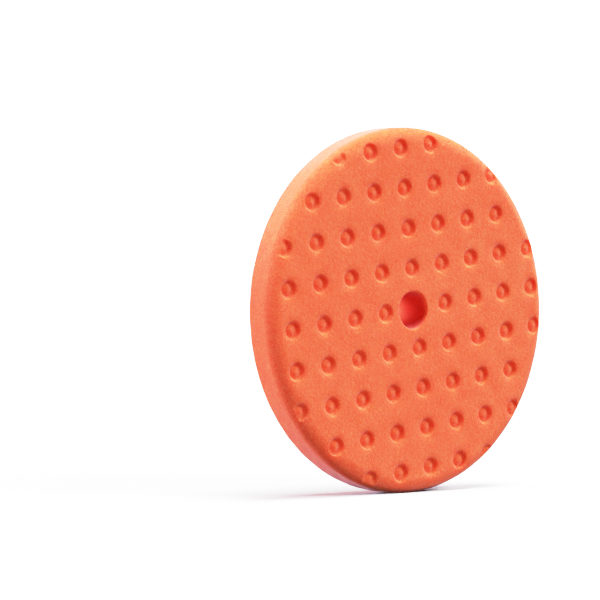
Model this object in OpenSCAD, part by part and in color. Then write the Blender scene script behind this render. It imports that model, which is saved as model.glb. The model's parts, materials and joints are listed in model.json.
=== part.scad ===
// Polishing pad: a dimpled foam disc on a loop-cloth backing, drawn standing on its edge.
// Row frame: +Z up, the pad's axis along Y, the working face towards -Y, and the loops
// towards +Y. The origin is the centre of the loop face, where the backing plate meets it.
// Each module draws its piece lying flat, loops down at height 0, and stand_up() turns it.

/* [Foam disc] */
// Widest diameter of the foam
pad_d = 165.1; // [150:0.1:180]
// Thickness of the whole pad, from the loop tips to the working face
pad_t = 25.4; // [22:0.1:32]
// How far the rounded front edge reaches in from the rim
front_round_r = 7.1; // [4:0.1:8]
// How far the rounded front edge reaches back from the working face
front_round_t = 5.7; // [3:0.1:7]
// Height of the widest point of the back bevel above the loop tips
bevel_top = 10.8; // [8:0.1:13]
// Height at which the bevel's side would meet the rim if it stayed straight
bevel_corner = 8.6; // [6:0.1:10.5]

/* [Centre hole] */
// Diameter of the straight hole through foam and backing
hole_d = 17; // [12:0.1:25]
// Rounding of the hole's lip at the working face
hole_lip = 0.7; // [0.5:0.1:3]

/* [Dimples] */
// Distance between neighbouring dimples in a row and between rows
dimple_pitch = 18.13; // [15:0.01:22]
// Turn of the dimple rows, counter-clockwise as the working face is seen
dimple_turn = 7.25; // [0:0.05:45]
// Sideways distance of the dimple grid's centre from the pad's axis
grid_shift_x = 1.7; // [-3:0.1:3]
// Upward distance of the dimple grid's centre from the pad's axis
grid_shift_y = 0.9; // [-3:0.1:3]
// Radius of a dimple's mouth at the working face
dimple_r = 3.9; // [3:0.05:4.5]
// Depth of the ring-shaped groove inside a dimple
groove_depth = 2.1; // [1:0.05:2.5]
// How far the nub in the middle of a dimple lies below the working face
nub_drop = 1; // [0.3:0.05:1.5]

/* [Loop backing] */
// Diameter of the loop cloth and of the layers that bond it
backing_d = 146.8; // [125:0.1:147]
// Height of the brushed loops
pile_t = 1.1; // [0.8:0.05:2]
// Thickness of the knitted ground cloth
cloth_t = 0.4; // [0.3:0.05:0.8]
// Thickness of the resin coat that locks the loops
coat_t = 0.2; // [0.1:0.05:0.4]
// Thickness of the hot-melt film between cloth and foam
film_t = 0.3; // [0.1:0.05:0.5]

/* [Hidden] */
$fn = 180;
pad_r = pad_d / 2;
hole_r = hole_d / 2;
backing_r = backing_d / 2;
face_r = pad_r - front_round_r;
// Heights of the layers above the loop tips
cloth_z = pile_t;
coat_z = cloth_z + cloth_t;
film_z = coat_z + coat_t;
foam_z = film_z + film_t;
// Steps of the curved stretches of the foam's outline
round_step = 15;
bevel_step = 0.2;
// A dimple is cut where its centre lies on the foam, with the rim's last half millimetre spared
dimple_limit_r = pad_r - 0.6;
grid_reach = ceil(pad_r / dimple_pitch);
// Radii of the nub's top and of the groove's floor, as shares of the mouth's radius
nub_r = 0.22 * dimple_r;
floor_in_r = 0.5 * dimple_r;
floor_out_r = 0.68 * dimple_r;
cut_clear = 1;

// Turns a piece drawn lying flat so that the working face looks along -Y
module stand_up() {
    rotate([90, 0, 0]) children();
}

// Point of a quadratic curve from a through the pull of b to c, at t from 0 to 1
function curve_point(a, b, c, t) = pow(1 - t, 2) * a + 2 * t * (1 - t) * b + pow(t, 2) * c;

// Half section of the foam, as radius and height: flat back, bevel that curves into
// the straight rim, quarter ellipse at the front edge, flat face, straight hole
module foam_section() {
    bevel_start = [backing_r, foam_z];
    bevel_pull = [pad_r, bevel_corner];
    bevel_end = [pad_r, bevel_top];
    bevel = [for (t = [0 : bevel_step : 1]) curve_point(bevel_start, bevel_pull, bevel_end, t)];
    front = [
        for (a = [0 : round_step : 90])
            [face_r + front_round_r * cos(a), pad_t - front_round_t * (1 - sin(a))]
    ];
    polygon(concat([[hole_r, foam_z]], bevel, front, [[hole_r, pad_t]]));
}

// Ring that rounds the hole's lip at the working face
module hole_lip_cut() {
    rotate_extrude()
        difference() {
            translate([hole_r - cut_clear, pad_t - hole_lip])
                square([hole_lip + cut_clear, hole_lip + cut_clear]);
            translate([hole_r + hole_lip, pad_t - hole_lip])
                circle(r = hole_lip);
        }
}

// Shape pressed into the face at one dimple: a flat-floored ring round a lower nub. Its
// outer wall runs on above the face, so that it also cuts the rounded edge cleanly
module dimple_cut() {
    wall_run = (dimple_r - floor_out_r) / groove_depth;
    rotate_extrude($fn = 32)
        polygon([
            [0, cut_clear],
            [0, -nub_drop],
            [nub_r, -nub_drop],
            [floor_in_r, -groove_depth],
            [floor_out_r, -groove_depth],
            [dimple_r + wall_run * cut_clear, cut_clear]
        ]);
}

// All dimples, on a square grid whose middle one makes way for the centre hole
module dimple_cuts() {
    translate([grid_shift_x, grid_shift_y, pad_t])
        rotate([0, 0, dimple_turn])
            for (column = [-grid_reach : grid_reach], row = [-grid_reach : grid_reach]) {
                spot = dimple_pitch * [column, row];
                turned = [
                    spot[0] * cos(dimple_turn) - spot[1] * sin(dimple_turn) + grid_shift_x,
                    spot[0] * sin(dimple_turn) + spot[1] * cos(dimple_turn) + grid_shift_y
                ];
                if (norm(spot) > hole_d && norm(turned) < dimple_limit_r)
                    translate([spot[0], spot[1], 0]) dimple_cut();
            }
}

// Flat ring with the backing's outline, for one layer of the laminate
module backing_layer(bottom, thickness) {
    translate([0, 0, bottom])
        difference() {
            cylinder(r = backing_r, h = thickness);
            translate([0, 0, -cut_clear]) cylinder(r = hole_r, h = thickness + 2 * cut_clear);
        }
}

// Orange open-cell foam that carries the polish
module foam_disc() {
    color([0.95, 0.45, 0.3])
        stand_up()
            difference() {
                rotate_extrude() foam_section();
                hole_lip_cut();
                dimple_cuts();
            }
}

// Hot-melt film that bonds the cloth to the foam
module adhesive_film() {
    color([0.85, 0.82, 0.72])
        stand_up() backing_layer(film_z, film_t);
}

// Resin coat on the cloth's back that holds the loops' roots
module back_coating() {
    color([0.16, 0.17, 0.19])
        stand_up() backing_layer(coat_z, coat_t);
}

// Knitted ground cloth that the loops are made in
module loop_base_cloth() {
    color([0.07, 0.09, 0.12])
        stand_up() backing_layer(cloth_z, cloth_t);
}

// Brushed nylon loops that the plate's hooks hold
module loop_pile() {
    color([0.05, 0.08, 0.11])
        stand_up() backing_layer(0, pile_t);
}

foam_disc();
adhesive_film();
back_coating();
loop_base_cloth();
loop_pile();
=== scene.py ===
"""Foam polishing pad standing on its edge: dimpled working face, bevelled back, loop backing.

Shapes are worked out with the pad lying flat: across and up run over the face, and height
runs from the loop tips, at 0, to the working face. place() stands them up in the row frame,
where across is X, height is -Y and up is Z. Lengths are metres.
"""

import json
import math

import bpy
import numpy as np
from mathutils import Matrix, Vector


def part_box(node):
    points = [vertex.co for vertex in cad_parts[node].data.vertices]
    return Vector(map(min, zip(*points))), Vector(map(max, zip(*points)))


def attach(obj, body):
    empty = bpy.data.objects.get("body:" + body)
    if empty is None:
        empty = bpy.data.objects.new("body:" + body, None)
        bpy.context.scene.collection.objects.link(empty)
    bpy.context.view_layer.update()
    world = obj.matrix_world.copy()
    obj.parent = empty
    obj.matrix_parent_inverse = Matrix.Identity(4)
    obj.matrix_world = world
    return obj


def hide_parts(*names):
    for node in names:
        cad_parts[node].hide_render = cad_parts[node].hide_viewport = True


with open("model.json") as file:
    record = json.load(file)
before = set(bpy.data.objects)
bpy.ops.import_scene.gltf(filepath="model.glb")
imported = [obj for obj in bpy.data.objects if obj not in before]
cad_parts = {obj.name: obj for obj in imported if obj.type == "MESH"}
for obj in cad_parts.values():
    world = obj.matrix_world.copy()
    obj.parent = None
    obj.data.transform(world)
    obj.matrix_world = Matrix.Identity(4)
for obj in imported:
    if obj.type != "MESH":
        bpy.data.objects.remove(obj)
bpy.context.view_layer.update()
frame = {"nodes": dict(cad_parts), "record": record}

# ---------------------------------------------------------------- sizes, from the frame
MM = 0.001
foam_low, foam_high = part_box("foam_disc")
pile_low, pile_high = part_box("loop_pile")
cloth_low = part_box("loop_base_cloth")[0]
hole_mount = next(m for m in frame["record"]["mounts"] if m["name"] == "centre_hole")

PAD_R = foam_high.x
HOLE_R = hole_mount["dims"]["r_mm"] * MM
BACKING_R = pile_high.x
FACE_H = -foam_low.y
FOAM_BACK_H = -foam_high.y
PILE_H = -pile_low.y
CLOTH_TOP_H = -cloth_low.y

# ---------------------------------------------------------------- sizes of the foam's form
FRONT_ROUND_R = 7.1 * MM
FRONT_ROUND_H = 5.7 * MM
BEVEL_TOP_H = 10.8 * MM
BEVEL_CORNER_H = 8.6 * MM
LIP_ROUND = FACE_H - hole_mount["dims"]["length_mm"] * MM
FACE_STEP = 0.36 * MM
FOAM_STEP = 0.8 * MM
GLUED_STEP = 4 * MM
FOAM_AROUND = 1200
EDGE_ARC = 1.42 * FRONT_ROUND_R

DIMPLE_PITCH = 18.13 * MM
DIMPLE_TURN = math.radians(7.25)
GRID_SHIFT = (1.7 * MM, 0.9 * MM)
DIMPLE_LIMIT = PAD_R - 0.6 * MM
DIMPLE_FLOOR_R = 2.7 * MM
DIMPLE_MOUTH_R = 4.6 * MM
DIMPLE_DEPTH = 2.5 * MM
SHOULDER_R = 7.0 * MM
SHOULDER_DROP = 0.4 * MM
NUB_R = 2.15 * MM
NUB_RISE = 1.45 * MM
EDGE_FADE = 2.4 * MM
RIDGE_R = 4.1 * MM
RIDGE_WIDTH = 0.4 * MM
RIDGE_RISE = 0.36 * MM
RIDGE_FULL_DROP = 0.5 * MM
RIDGE_FADE_DROP = 1.2 * MM
RIDGE_FADE = 2 * MM

FACE_WAVE_H, FACE_WAVE_L = 0.05 * MM, 14 * MM
FACE_RIPPLE_H, FACE_RIPPLE_L = 0.015 * MM, 2.2 * MM
SIDE_WAVE_H, SIDE_WAVE_L = 0.05 * MM, 11 * MM
SIDE_START_R = BACKING_R + 0.5 * MM
POCKET_SHADE = 0.18
HOLE_SHADE_DEPTH = 3.5 * MM
HOLE_SHADE_END = 12 * MM
HOLE_SHADE_FADE = 11 * MM

# ---------------------------------------------------------------- sizes of the loop backing
FELT_H = 0.62 * MM
FELT_TUFT_H, FELT_TUFT_L = 0.10 * MM, 1.1 * MM
FELT_WAVE_H, FELT_WAVE_L = 0.04 * MM, 5 * MM
STITCH_H = 0.03 * MM
STITCH_ACROSS = 1.1 * MM
STITCH_UP = 1.4 * MM
CUT_WANDER_H, CUT_WANDER_L = 0.05 * MM, 1.6 * MM
CUT_INSET = 0.1 * MM
LOOP_FOOT_H = 0.80 * MM
LOOP_TIP_H = 0.10 * MM
LOOP_PITCH = 1.15 * MM
LOOP_SCATTER = 0.38 * MM
LOOP_HALF_WIDTH = 0.36 * MM
LOOP_EDGE_GAP = 0.45 * MM
LOOP_THREAD_R = 0.08 * MM
LOOP_POINTS = 7
LOOP_WIDTHS = (0.7, 1.35)
LOOP_RISES = (0.62, 1.0)
LOOP_TONES = (0.15, 1.0)
LOOP_LEAN = 0.4
LOOP_PIECES = 3


# ---------------------------------------------------------------- helpers
def place(across, up, height):
    """Stands flat coordinates up in the row frame: X = across, Y = -height, Z = up."""
    return np.stack([across, -height, up], axis=-1)


def smooth(t):
    """Eases from 0 to 1 with no slope at either end: 3t^2 - 2t^3, held outside 0 to 1."""
    t = np.clip(t, 0.0, 1.0)
    return t * t * (3.0 - 2.0 * t)


def grid_quads(rows, columns, wrap_rows, wrap_columns, first=0):
    """Quads of a grid of points numbered row by row from first; a wrapped side closes on itself."""
    r = np.arange(rows if wrap_rows else rows - 1)[:, None]
    c = np.arange(columns if wrap_columns else columns - 1)[None, :]
    r2 = (r + 1) % rows
    c2 = (c + 1) % columns
    quads = np.stack([r * columns + c, r * columns + c2, r2 * columns + c2, r2 * columns + c], axis=-1)
    return quads.reshape(-1, 4) + first


def facing_out(points, faces):
    """Turns the faces of a closed shape over if the volume they enclose comes out negative."""
    first, second, third = points[faces[:, 0]], points[faces[:, 1]], points[faces[:, 2]]
    volume = np.einsum("ij,ij->", first, np.cross(second, third))
    if faces.shape[1] == 4:
        volume += np.einsum("ij,ij->", first, np.cross(third, points[faces[:, 3]]))
    return faces if volume > 0 else faces[:, ::-1]


def make_mesh(name, points, faces, material, **masks):
    """Turns arrays of points and faces into a smooth-shaded object with one material. Masks
    are arrays of one value a point, which the material can read by name."""
    mesh = bpy.data.meshes.new(name)
    points = points.reshape(-1, 3)
    faces = facing_out(points, faces)
    sides = faces.shape[1]
    mesh.vertices.add(len(points))
    mesh.vertices.foreach_set("co", points.astype(np.float32).ravel())
    mesh.loops.add(faces.size)
    mesh.loops.foreach_set("vertex_index", faces.astype(np.int32).ravel())
    mesh.polygons.add(len(faces))
    mesh.polygons.foreach_set("loop_start", np.arange(0, faces.size, sides, dtype=np.int32))
    mesh.polygons.foreach_set("use_smooth", np.ones(len(faces), dtype=bool))
    for label, values in masks.items():
        mask = mesh.attributes.new(label, "FLOAT", "POINT")
        mask.data.foreach_set("value", values.ravel().astype(np.float32))
    mesh.update(calc_edges=True)
    mesh.validate()
    mesh.materials.append(material)
    piece = bpy.data.objects.new(name, mesh)
    bpy.context.scene.collection.objects.link(piece)
    return piece


def ripple(x, y, wavelength, seed, waves=24):
    """Smooth unevenness of about unit size: a sum of sine waves in seeded directions and phases."""
    draw = np.random.default_rng(seed)
    turn = draw.uniform(0, 2 * math.pi, waves)
    phase = draw.uniform(0, 2 * math.pi, waves)
    number = 2 * math.pi / (wavelength * draw.uniform(0.7, 1.6, waves))
    total = np.zeros_like(x)
    for a, p, k in zip(turn, phase, number):
        total += np.sin(k * (x * math.cos(a) + y * math.sin(a)) + p)
    return total / math.sqrt(waves / 2)


# ---------------------------------------------------------------- node helpers
def node(tree, kind, inputs=(), **settings):
    """Adds a shader node, sets its properties, and fills its sockets with values or links."""
    made = tree.nodes.new(kind)
    for key, value in settings.items():
        setattr(made, key, value)
    for socket, value in dict(inputs).items():
        if isinstance(value, bpy.types.NodeSocket):
            tree.links.new(value, made.inputs[socket])
        else:
            made.inputs[socket].default_value = value
    return made


def ramp(tree, factor, stops):
    """A colour ramp whose stops are (position, grey or colour)."""
    made = node(tree, "ShaderNodeValToRGB", {"Fac": factor})
    elements = made.color_ramp.elements
    while len(elements) < len(stops):
        elements.new(0.5)
    for element, (position, colour) in zip(elements, stops):
        element.position = position
        grey = isinstance(colour, (int, float))
        element.color = (colour, colour, colour, 1) if grey else (*colour, 1)
    return made.outputs["Color"]


def mix_colour(tree, factor, a, b, blend="MIX"):
    """Mixes two colours by a factor."""
    made = node(tree, "ShaderNodeMix", data_type="RGBA", blend_type=blend)
    for socket, value in ((0, factor), (6, a), (7, b)):
        if isinstance(value, bpy.types.NodeSocket):
            tree.links.new(value, made.inputs[socket])
        else:
            made.inputs[socket].default_value = value
    return made.outputs[2]


def maths(tree, operation, a, b=0.0):
    """One maths step on values or links."""
    return node(tree, "ShaderNodeMath", {0: a, 1: b}, operation=operation).outputs[0]


def new_group(name, inputs, outputs):
    """An empty shader group with named sockets, and its input and output nodes."""
    tree = bpy.data.node_groups.new(name, "ShaderNodeTree")
    for label, kind, value in inputs:
        made = tree.interface.new_socket(label, in_out="INPUT", socket_type=kind)
        if value is not None:
            made.default_value = value
    for label, kind in outputs:
        tree.interface.new_socket(label, in_out="OUTPUT", socket_type=kind)
    return tree, tree.nodes.new("NodeGroupInput"), tree.nodes.new("NodeGroupOutput")


def place_group(tree, group, **inputs):
    """Puts a shader group into a material and sets its inputs."""
    made = tree.nodes.new("ShaderNodeGroup")
    made.node_tree = group
    for label, value in inputs.items():
        socket = made.inputs[label.replace("_", " ")]
        if isinstance(value, bpy.types.NodeSocket):
            tree.links.new(value, socket)
        else:
            socket.default_value = value
    return made.outputs


def mottle_group():
    """Soft, uneven patches at two sizes, for dye and wear: Mask from 0 to 1 round the middle."""
    tree, inside, out = new_group(
        "mottle",
        [("Position", "NodeSocketVector", None), ("Size", "NodeSocketFloat", 60.0)],
        [("Mask", "NodeSocketFloat")],
    )
    large = node(tree, "ShaderNodeTexNoise", {
        "Vector": inside.outputs["Position"], "Scale": inside.outputs["Size"],
        "Detail": 3.0, "Roughness": 0.55})
    finer = maths(tree, "MULTIPLY", inside.outputs["Size"], 9.0)
    small = node(tree, "ShaderNodeTexNoise", {
        "Vector": inside.outputs["Position"], "Scale": finer, "Detail": 4.0, "Roughness": 0.6})
    both = node(tree, "ShaderNodeMix", {0: 0.35, 2: large.outputs["Fac"], 3: small.outputs["Fac"]})
    tree.links.new(both.outputs[0], out.inputs["Mask"])
    return tree


def grain_group():
    """Fine cells or fibres: Height for bump, and Mask that is 1 in the pits between them."""
    tree, inside, out = new_group(
        "grain",
        [("Position", "NodeSocketVector", None), ("Size", "NodeSocketFloat", 2000.0),
         ("Softness", "NodeSocketFloat", 0.5)],
        [("Mask", "NodeSocketFloat"), ("Height", "NodeSocketFloat")],
    )
    cells = node(tree, "ShaderNodeTexVoronoi", {
        "Vector": inside.outputs["Position"], "Scale": inside.outputs["Size"]}, feature="F1")
    speck_size = maths(tree, "MULTIPLY", inside.outputs["Size"], 0.55)
    specks = node(tree, "ShaderNodeTexNoise", {
        "Vector": inside.outputs["Position"], "Scale": speck_size,
        "Detail": 5.0, "Roughness": 0.7})
    walls = maths(tree, "SUBTRACT", cells.outputs["Distance"], 0.1)
    height = node(tree, "ShaderNodeMix", {
        0: inside.outputs["Softness"], 2: walls, 3: specks.outputs["Fac"]})
    pits = ramp(tree, height.outputs[0], [(0.2, 1.0), (0.62, 0.0)])
    tree.links.new(pits, out.inputs["Mask"])
    tree.links.new(height.outputs[0], out.inputs["Height"])
    return tree


MOTTLE = mottle_group()
GRAIN = grain_group()


def new_material(name, **constants):
    """A material with a Principled shader whose constant sockets are set on the shader itself."""
    made = bpy.data.materials.new(name)
    made.use_nodes = True
    shader = made.node_tree.nodes["Principled BSDF"]
    for label, value in constants.items():
        shader.inputs[label.replace("_", " ")].default_value = value
    return made, made.node_tree, shader


def object_position(tree):
    """The point on the piece, in metres."""
    return tree.nodes.new("ShaderNodeTexCoord").outputs["Object"]


# ---------------------------------------------------------------- materials
def foam_material():
    """Orange open-cell foam: dye patches, cell speckle, painted shade that turns it deeper red inside
    the hole and a little in the dimples, light that travels a little way inside, and a soft pale
    sheen."""
    made, tree, shader = new_material(
        "foam", Roughness=0.92, Sheen_Weight=0.3, Sheen_Roughness=0.45,
        Sheen_Tint=(1.0, 0.78, 0.92, 1), Specular_IOR_Level=0.25, Subsurface_Weight=0.85,
        Subsurface_Radius=(1.0, 0.12, 0.05), Subsurface_Scale=4 * MM)
    position = object_position(tree)
    patches = place_group(tree, MOTTLE, Position=position, Size=22.0)["Mask"]
    dye = ramp(tree, patches, [(0.36, (0.93, 0.160, 0.055)), (0.64, (0.96, 0.198, 0.075))])
    cells = place_group(tree, GRAIN, Position=position, Size=1900.0, Softness=0.6)
    speckled = mix_colour(tree, cells["Mask"], dye, (0.80, 0.055, 0.014, 1))
    # Painted shade: a deeper red mixed in a little way inside the hole and a little in the dimples,
    # standing in for shade in those recesses.
    deep = node(tree, "ShaderNodeAttribute", attribute_name="deep").outputs["Fac"]
    colour = mix_colour(tree, deep, speckled, (0.80, 0.045, 0.014, 1))
    tree.links.new(colour, shader.inputs["Base Color"])
    bump = node(tree, "ShaderNodeBump", {
        "Height": cells["Height"], "Strength": 0.7, "Distance": 0.3 * MM})
    tree.links.new(bump.outputs["Normal"], shader.inputs["Normal"])
    return made


def loop_material():
    """Blue-black brushed nylon, matte. The felt is darkest, and each loop has its own tone."""
    made, tree, shader = new_material(
        "loops", Roughness=0.8, Sheen_Weight=0.04, Sheen_Roughness=0.4,
        Sheen_Tint=(0.6, 0.75, 1.0, 1), Specular_IOR_Level=0.25)
    position = object_position(tree)
    patches = place_group(tree, MOTTLE, Position=position, Size=70.0)["Mask"]
    tone = node(tree, "ShaderNodeAttribute", attribute_name="tone").outputs["Fac"]
    both = maths(tree, "MULTIPLY", maths(tree, "ADD", patches, 0.5), tone)
    dye = ramp(tree, both, [(0.0, (0.0022, 0.0040, 0.0072)), (1.0, (0.026, 0.038, 0.052))])
    fibres = place_group(tree, GRAIN, Position=position, Size=2200.0, Softness=0.6)
    pit_share = maths(tree, "MULTIPLY", fibres["Mask"], 0.8)
    colour = mix_colour(tree, pit_share, dye, (0.0012, 0.0022, 0.0040, 1))
    tree.links.new(colour, shader.inputs["Base Color"])
    bump = node(tree, "ShaderNodeBump", {
        "Height": fibres["Height"], "Strength": 0.8, "Distance": 0.2 * MM})
    tree.links.new(bump.outputs["Normal"], shader.inputs["Normal"])
    return made


def cloth_material():
    """Knitted nylon ground cloth, seen at its cut edge."""
    made, tree, shader = new_material("ground_cloth", Roughness=0.9, Specular_IOR_Level=0.3)
    position = object_position(tree)
    fibres = place_group(tree, GRAIN, Position=position, Size=2600.0, Softness=0.4)
    colour = mix_colour(tree, fibres["Mask"], (0.022, 0.028, 0.038, 1), (0.006, 0.009, 0.014, 1))
    tree.links.new(colour, shader.inputs["Base Color"])
    bump = node(tree, "ShaderNodeBump", {
        "Height": fibres["Height"], "Strength": 0.7, "Distance": 0.15 * MM})
    tree.links.new(bump.outputs["Normal"], shader.inputs["Normal"])
    return made


def coating_material():
    """Dark resin coat with small skips and a low gloss."""
    made, tree, shader = new_material("coating", Specular_IOR_Level=0.5)
    position = object_position(tree)
    patches = place_group(tree, MOTTLE, Position=position, Size=300.0)["Mask"]
    colour = ramp(tree, patches, [(0.3, (0.010, 0.011, 0.014)), (0.7, (0.030, 0.032, 0.038))])
    tree.links.new(colour, shader.inputs["Base Color"])
    rough = ramp(tree, patches, [(0.3, 0.35), (0.7, 0.6)])
    tree.links.new(rough, shader.inputs["Roughness"])
    return made


def film_material():
    """Hot-melt film that has wetted the foam: orange with amber gloss spots."""
    made, tree, shader = new_material("adhesive", Specular_IOR_Level=0.5)
    position = object_position(tree)
    patches = place_group(tree, MOTTLE, Position=position, Size=260.0)["Mask"]
    colour = ramp(tree, patches, [(0.3, (0.30, 0.055, 0.02)), (0.7, (0.62, 0.16, 0.06))])
    tree.links.new(colour, shader.inputs["Base Color"])
    rough = ramp(tree, patches, [(0.3, 0.3), (0.7, 0.65)])
    tree.links.new(rough, shader.inputs["Roughness"])
    return made


# ---------------------------------------------------------------- foam disc
def stretch(start, end, step):
    """Shares from 0 up to but not at 1 that cut the line from start to end into even steps."""
    length = math.dist(start, end)
    return np.arange(max(2, round(length / step))) / max(2, round(length / step))


def foam_outline():
    """Closed half section of the foam as arrays of radius and height: up the hole's wall, a
    quarter circle at the lip, flat face, quarter ellipse at the edge, straight rim, a
    quadratic curve down the bevel, and back along the glued side."""
    face_in = HOLE_R + LIP_ROUND
    face_out = PAD_R - FRONT_ROUND_R
    wall = stretch((HOLE_R, FOAM_BACK_H), (HOLE_R, FACE_H - LIP_ROUND), FOAM_STEP)
    lip = stretch((0, 0), (LIP_ROUND * math.pi / 2, 0), FACE_STEP) * math.pi / 2
    face = stretch((face_in, 0), (face_out, 0), FACE_STEP)
    edge = stretch((0, 0), (EDGE_ARC, 0), FACE_STEP) * math.pi / 2
    rim = stretch((0, FACE_H - FRONT_ROUND_H), (0, BEVEL_TOP_H), FOAM_STEP)
    bevel = stretch((PAD_R, BEVEL_TOP_H), (BACKING_R, FOAM_BACK_H), FOAM_STEP)
    glued = stretch((BACKING_R, 0), (HOLE_R, 0), GLUED_STEP)
    radius = np.concatenate([
        np.full_like(wall, HOLE_R),
        face_in - LIP_ROUND * np.cos(lip),
        face_in + (face_out - face_in) * face,
        face_out + FRONT_ROUND_R * np.sin(edge),
        np.full_like(rim, PAD_R),
        (1 - bevel ** 2) * PAD_R + bevel ** 2 * BACKING_R,
        BACKING_R + (HOLE_R - BACKING_R) * glued,
    ])
    height = np.concatenate([
        FOAM_BACK_H + (FACE_H - LIP_ROUND - FOAM_BACK_H) * wall,
        FACE_H - LIP_ROUND + LIP_ROUND * np.sin(lip),
        np.full_like(face, FACE_H),
        FACE_H - FRONT_ROUND_H * (1 - np.cos(edge)),
        FACE_H - FRONT_ROUND_H + (BEVEL_TOP_H - FACE_H + FRONT_ROUND_H) * rim,
        (1 - bevel) ** 2 * BEVEL_TOP_H + 2 * bevel * (1 - bevel) * BEVEL_CORNER_H
        + bevel ** 2 * FOAM_BACK_H,
        np.full_like(glued, FOAM_BACK_H),
    ])
    return radius, height


def dimple_distance(across, up):
    """Distance from each point to the nearest dimple's centre. The dimples are a square grid,
    turned and shifted on the face, without the one at the hole and those past the rim."""
    turn_cos, turn_sin = math.cos(DIMPLE_TURN), math.sin(DIMPLE_TURN)
    a = (across - GRID_SHIFT[0]) / DIMPLE_PITCH
    b = (up - GRID_SHIFT[1]) / DIMPLE_PITCH
    column = turn_cos * a + turn_sin * b
    row = -turn_sin * a + turn_cos * b
    near_column, near_row = np.round(column), np.round(row)
    distance = DIMPLE_PITCH * np.hypot(column - near_column, row - near_row)
    spot_across = DIMPLE_PITCH * (turn_cos * near_column - turn_sin * near_row) + GRID_SHIFT[0]
    spot_up = DIMPLE_PITCH * (turn_sin * near_column + turn_cos * near_row) + GRID_SHIFT[1]
    missing = (near_column == 0) & (near_row == 0)
    missing |= np.hypot(spot_across, spot_up) > DIMPLE_LIMIT
    return np.where(missing, DIMPLE_PITCH, distance)


def dimple_depth(distance):
    """Depth of a dimple at a distance from its centre: a wide eased shoulder, a steeper eased
    wall from mouth to floor, and a bell-shaped nub in the middle."""
    shoulder = 1 - smooth((distance - DIMPLE_FLOOR_R) / (SHOULDER_R - DIMPLE_FLOOR_R))
    wall = 1 - smooth((distance - DIMPLE_FLOOR_R) / (DIMPLE_MOUTH_R - DIMPLE_FLOOR_R))
    nub = np.exp(-((distance / NUB_R) ** 2))
    return SHOULDER_DROP * shoulder + (DIMPLE_DEPTH - SHOULDER_DROP) * wall - NUB_RISE * nub


def edge_ridge(distance, drop):
    """Height of the thin lip raised round a dimple where the rounded edge has begun to fall
    away: a bell-shaped ring at the mouth that comes in and fades out with the edge's drop."""
    ring = np.exp(-(((distance - RIDGE_R) / RIDGE_WIDTH) ** 2))
    fade_in = smooth(drop / RIDGE_FULL_DROP)
    fade_out = 1 - smooth((drop - RIDGE_FADE_DROP) / RIDGE_FADE)
    return RIDGE_RISE * ring * fade_in * fade_out


def make_foam():
    """The foam disc: its outline turned about the axis, then dimpled. A dimple is pressed in
    from the local surface and fades out as the rounded edge drops from the face. The mask deep
    is painted shade: 1 a little way inside the hole, fading towards its back, and small in the
    dimples."""
    radius, height = foam_outline()
    angle = np.arange(FOAM_AROUND) * 2 * math.pi / FOAM_AROUND
    across = radius[:, None] * np.cos(angle)
    up = radius[:, None] * np.sin(angle)
    height = np.repeat(height[:, None], FOAM_AROUND, axis=1)
    from_axis = np.hypot(across, up)
    clear_of_hole = from_axis > HOLE_R + 0.2 * LIP_ROUND
    on_front = (height > FACE_H - FRONT_ROUND_H) & clear_of_hole
    distance = dimple_distance(across, up)
    drop = FACE_H - height
    pressed = dimple_depth(distance) * (1 - smooth(drop / EDGE_FADE))
    pressed = np.where(on_front & (distance < SHOULDER_R), pressed, 0.0)
    ridge = np.where(on_front, edge_ridge(distance, drop), 0.0)
    # Painted shade: the hole's wall turns deeper red from a little inside the lip and fades towards
    # its back, and the dimples get a little of it by their depth.
    back_fade = smooth((drop - HOLE_SHADE_END) / HOLE_SHADE_FADE)
    shade = smooth(drop / HOLE_SHADE_DEPTH) * (1 - back_fade)
    in_hole = np.where(from_axis < HOLE_R + LIP_ROUND, shade, 0.0)
    pocket = smooth((pressed - SHOULDER_DROP) / (DIMPLE_DEPTH - SHOULDER_DROP))
    deep = np.clip(in_hole + POCKET_SHADE * pocket, 0, 1)
    uneven = FACE_WAVE_H * ripple(across, up, FACE_WAVE_L, seed=3)
    uneven += FACE_RIPPLE_H * ripple(across, up, FACE_RIPPLE_L, seed=4)
    on_side = (radius[:, None] > SIDE_START_R) & (height < FACE_H - FRONT_ROUND_H)
    side_wave = SIDE_WAVE_H * ripple(across + height, up - height, SIDE_WAVE_L, seed=5)
    bulge = np.where(on_side, side_wave, 0.0)
    across, up = across * (1 + bulge / PAD_R), up * (1 + bulge / PAD_R)
    height = height - pressed + ridge + np.where(on_front, uneven, 0.0)
    quads = grid_quads(len(radius), FOAM_AROUND, True, True)
    points = place(across, up, height)
    return make_mesh("foam_pad", points, quads, foam_material(), deep=deep)


# ---------------------------------------------------------------- loop backing
def ring_solid(name, low, top_height, rings, around, material):
    """Closed flat ring from the hole to the backing's edge: a grid over its top, whose height
    is a function of place, wrapped down its outer wall, along its flat underside and up its
    inner wall. The outer wall wanders by a few hundredths of a millimetre, as a cut edge does."""
    radius = np.concatenate([np.linspace(HOLE_R, BACKING_R, rings), [BACKING_R, HOLE_R]])
    angle = np.arange(around) * 2 * math.pi / around
    edge_across, edge_up = BACKING_R * np.cos(angle), BACKING_R * np.sin(angle)
    wander = CUT_WANDER_H * ripple(edge_across, edge_up, CUT_WANDER_L, seed=9)
    at_edge = np.where(radius == BACKING_R, 1, 0)[:, None]
    radius = radius[:, None] + at_edge * (wander - CUT_INSET)
    across = radius * np.cos(angle)
    up = radius * np.sin(angle)
    height = top_height(across, up)
    height[-2:] = low
    quads = grid_quads(rings + 2, around, True, True)
    return make_mesh(name, place(across, up, height), quads, material)


def felt_height(across, up):
    """The felted ground of the loops: tufts at two sizes round a middle height."""
    fine = ripple(across, up, FELT_TUFT_L, seed=11, waves=40)
    broad = ripple(across, up, FELT_WAVE_L, seed=12)
    return FELT_H + FELT_TUFT_H * fine + FELT_WAVE_H * broad


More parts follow.
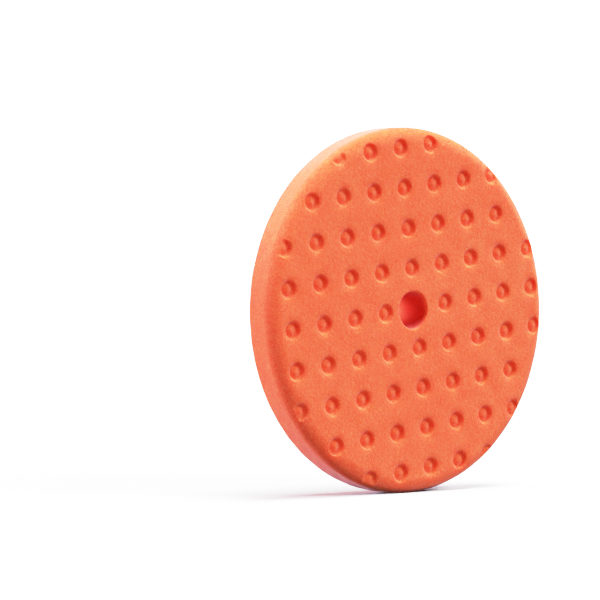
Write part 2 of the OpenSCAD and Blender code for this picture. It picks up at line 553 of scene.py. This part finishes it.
def cloth_height(across, up):
    """The ground cloth's knit: rows of stitches, the product of two waves 1.1 and 1.4 mm long."""
    wave_across = np.sin(across * 2 * math.pi / STITCH_ACROSS)
    wave_up = np.sin(up * 2 * math.pi / STITCH_UP)
    return PILE_H + STITCH_H * wave_across * wave_up


def loop_feet():
    """Places of the loops: a staggered grid over the ring, each moved a little at random."""
    draw = np.random.default_rng(21)
    count = math.ceil(BACKING_R / LOOP_PITCH)
    row, column = np.mgrid[-count:count + 1, -count:count + 1].astype(float)
    across = LOOP_PITCH * (column + 0.5 * (row % 2)) + draw.uniform(-1, 1, row.shape) * LOOP_SCATTER
    up = LOOP_PITCH * row + draw.uniform(-1, 1, row.shape) * LOOP_SCATTER
    distance = np.hypot(across, up)
    inside = (distance > HOLE_R + LOOP_EDGE_GAP) & (distance < BACKING_R - LOOP_EDGE_GAP)
    return across[inside], up[inside]


def make_loops(material):
    """Nylon loops, as three-sided closed tubes. With a from 0 to pi along a loop, sideways is
    -w cos(a) (1 + 0.3 sin(a)) and rise is h sin(a)^0.8, leaning over by a share of the rise."""
    draw = np.random.default_rng(22)
    foot_across, foot_up = loop_feet()
    count = len(foot_across)
    turn = draw.uniform(0, 2 * math.pi, (count, 1))
    width = LOOP_HALF_WIDTH * draw.uniform(*LOOP_WIDTHS, (count, 1))
    lean = draw.normal(0, LOOP_LEAN, (count, 1))
    along = np.linspace(0, math.pi, LOOP_POINTS)
    tallest = (LOOP_FOOT_H - LOOP_TIP_H) * draw.uniform(*LOOP_RISES, (count, 1))
    rise = tallest * np.sin(along).clip(0) ** 0.8
    side = -width * np.cos(along) * (1 + 0.3 * np.sin(along))
    path = np.stack([
        foot_across[:, None] + side * np.cos(turn) - lean * rise * np.sin(turn),
        foot_up[:, None] + side * np.sin(turn) + lean * rise * np.cos(turn),
        LOOP_FOOT_H - rise,
    ], axis=-1)
    ahead = np.gradient(path, axis=1)
    ahead /= np.linalg.norm(ahead, axis=-1, keepdims=True)
    flank = np.stack([-np.sin(turn), np.cos(turn), np.zeros_like(turn)], axis=-1)
    flank = np.broadcast_to(flank, path.shape)
    outside = np.cross(ahead, flank)
    corner = np.arange(3)[:, None] * 2 * math.pi / 3
    tube = path[:, :, None] + LOOP_THREAD_R * (
        np.cos(corner) * outside[:, :, None] + np.sin(corner) * flank[:, :, None])
    quads = grid_quads(LOOP_POINTS, 3, False, True)
    step = 3 * LOOP_POINTS
    tone = np.repeat(draw.uniform(*LOOP_TONES, (count, 1)) ** 1.5, step, axis=1)
    last = step - 3
    ends = [[0, 2, 1], [last, last + 1, last + 2]]
    faces = np.concatenate([quads[:, :3], quads[:, [0, 2, 3]], ends])
    for share in range(LOOP_PIECES):
        mine = tube[share::LOOP_PIECES]
        every = (faces[None] + step * np.arange(len(mine))[:, None, None]).reshape(-1, 3)
        points = place(mine[..., 0], mine[..., 1], mine[..., 2])
        name = "loops_%d" % (share + 1)
        yield make_mesh(name, points, every, material, tone=tone[share::LOOP_PIECES])


def settle_cad_node(name, material):
    """Gives a CAD node that shows as it is its finish."""
    piece = frame["nodes"][name]
    piece.data.materials.clear()
    piece.data.materials.append(material)
    return piece


# ---------------------------------------------------------------- camera, light and floor
VIEW_TURN = math.radians(-39.7)
VIEW_RISE = math.radians(0.77)
VIEW_DISTANCE = 1.352
PAD_RIGHT_OF_AXIS = 0.0512
PAD_BELOW_AXIS = 0.0046
SURROUND_LIGHT = 0.22
SURROUND_SEEN = 3.0
TONE_WHITE = 3.0
TONE_STEPS = (
    (0.2, 0.205), (0.5, 0.57), (0.8, 0.78), (1.1, 0.88), (1.5, 0.94), (2.2, 0.985))


def view_axes(turn, rise):
    """Right, up and forward of a level camera at that turn round Z and that height."""
    right = Vector((math.cos(turn), math.sin(turn), 0))
    back = Vector((math.sin(turn) * math.cos(rise), -math.cos(turn) * math.cos(rise), math.sin(rise)))
    return right, back.cross(right), -back


def make_camera():
    """Long lens, so that the pad's circles stay true ellipses; the pad sits right of the middle."""
    right, up, forward = view_axes(VIEW_TURN, VIEW_RISE)
    face_centre = Vector((0, -FACE_H, 0))
    data = bpy.data.cameras.new("camera")
    data.lens = 180
    data.sensor_width = 36
    camera = bpy.data.objects.new("camera", data)
    spot = face_centre - PAD_RIGHT_OF_AXIS * right + PAD_BELOW_AXIS * up - VIEW_DISTANCE * forward
    turn = Matrix((right, up, -forward)).transposed().to_4x4()
    camera.matrix_world = Matrix.Translation(spot) @ turn
    bpy.context.scene.collection.objects.link(camera)
    bpy.context.scene.camera = camera


def soft_sun(name, turn, rise, spread, strength, colour=(1, 1, 1)):
    """Even light from far off. Turn and rise say where it stands, in degrees, as for a camera,
    and spread is how wide it looks, in degrees. A strength of 1 lights a white surface that
    faces it to full white."""
    _, _, forward = view_axes(math.radians(turn), math.radians(rise))
    data = bpy.data.lights.new(name, "SUN")
    data.angle = math.radians(spread)
    data.energy = strength * math.pi
    data.color = colour
    light = bpy.data.objects.new(name, data)
    light.rotation_mode = "QUATERNION"
    light.rotation_quaternion = forward.to_track_quat("-Z", "Y")
    bpy.context.scene.collection.objects.link(light)


FLOOR_REACH = 30.0
FLOOR_SEEN = (0.93, 0.93, 0.93, 1)
FLOOR_GIVES = (0.14, 0.14, 0.14, 1)


def make_floor():
    """A wide white floor that touches the pad's lowest point. It sends only part of its light
    back to the pad, as if it were grey, so that the pad's shaded sides stay deep."""
    mesh = bpy.data.meshes.new("floor")
    corners = [(-1, -1, 0), (1, -1, 0), (1, 1, 0), (-1, 1, 0)]
    mesh.from_pydata([Vector(corner) * FLOOR_REACH for corner in corners], [], [(0, 1, 2, 3)])
    paint, tree, shader = new_material("floor", Roughness=0.9, Specular_IOR_Level=0.0)
    seen = tree.nodes.new("ShaderNodeLightPath").outputs["Is Camera Ray"]
    colour = mix_colour(tree, seen, FLOOR_GIVES, FLOOR_SEEN)
    tree.links.new(colour, shader.inputs["Base Color"])
    mesh.materials.append(paint)
    floor = bpy.data.objects.new("floor", mesh)
    floor.location = (0, 0, foam_low.z)
    bpy.context.scene.collection.objects.link(floor)


def make_surround():
    """A surround that looks white behind the floor and gives only a little light."""
    world = bpy.data.worlds.new("studio")
    world.use_nodes = True
    tree = world.node_tree
    seen = tree.nodes.new("ShaderNodeLightPath").outputs["Is Camera Ray"]
    strength = node(tree, "ShaderNodeMix", {0: seen, 2: SURROUND_LIGHT, 3: SURROUND_SEEN}).outputs[0]
    background = tree.nodes["Background"]
    background.inputs["Color"].default_value = (1, 1, 1, 1)
    tree.links.new(strength, background.inputs["Strength"])
    bpy.context.scene.world = world


def make_lights():
    """Soft boxes: a strong one almost overhead, a key above in front on the right, and a low,
    slightly bluer one behind on the left that lights the rim."""
    soft_sun("overhead", 40, 80, 30, 2.0)
    soft_sun("key", 25, 35, 25, 1.0)
    soft_sun("rim", -125, 6, 30, 2.0, colour=(1, 0.98, 1.25))


def set_tone():
    """A soft tone curve: straight in the darks, with a long shoulder up to white."""
    view = bpy.context.scene.view_settings
    view.view_transform = "Standard"
    view.use_curve_mapping = True
    mapping = view.curve_mapping
    mapping.white_level = (TONE_WHITE, TONE_WHITE, TONE_WHITE)
    points = mapping.curves[3].points
    for light, shown in TONE_STEPS:
        points.new(light / TONE_WHITE, shown)
    mapping.update()


# ---------------------------------------------------------------- assembly
foam = make_foam()
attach(foam, "root")
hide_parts("foam_disc")

nylon = loop_material()
felt = ring_solid("loop_felt", PILE_H, felt_height, 120, 700, nylon)
for piece in [felt, *make_loops(nylon)]:
    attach(piece, "root")
    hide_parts("loop_pile")

cloth = ring_solid("ground_cloth", CLOTH_TOP_H, cloth_height, 60, 700, cloth_material())
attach(cloth, "root")
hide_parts("loop_base_cloth")

settle_cad_node("back_coating", coating_material())
settle_cad_node("adhesive_film", film_material())

make_camera()
make_floor()
make_surround()
make_lights()
set_tone()
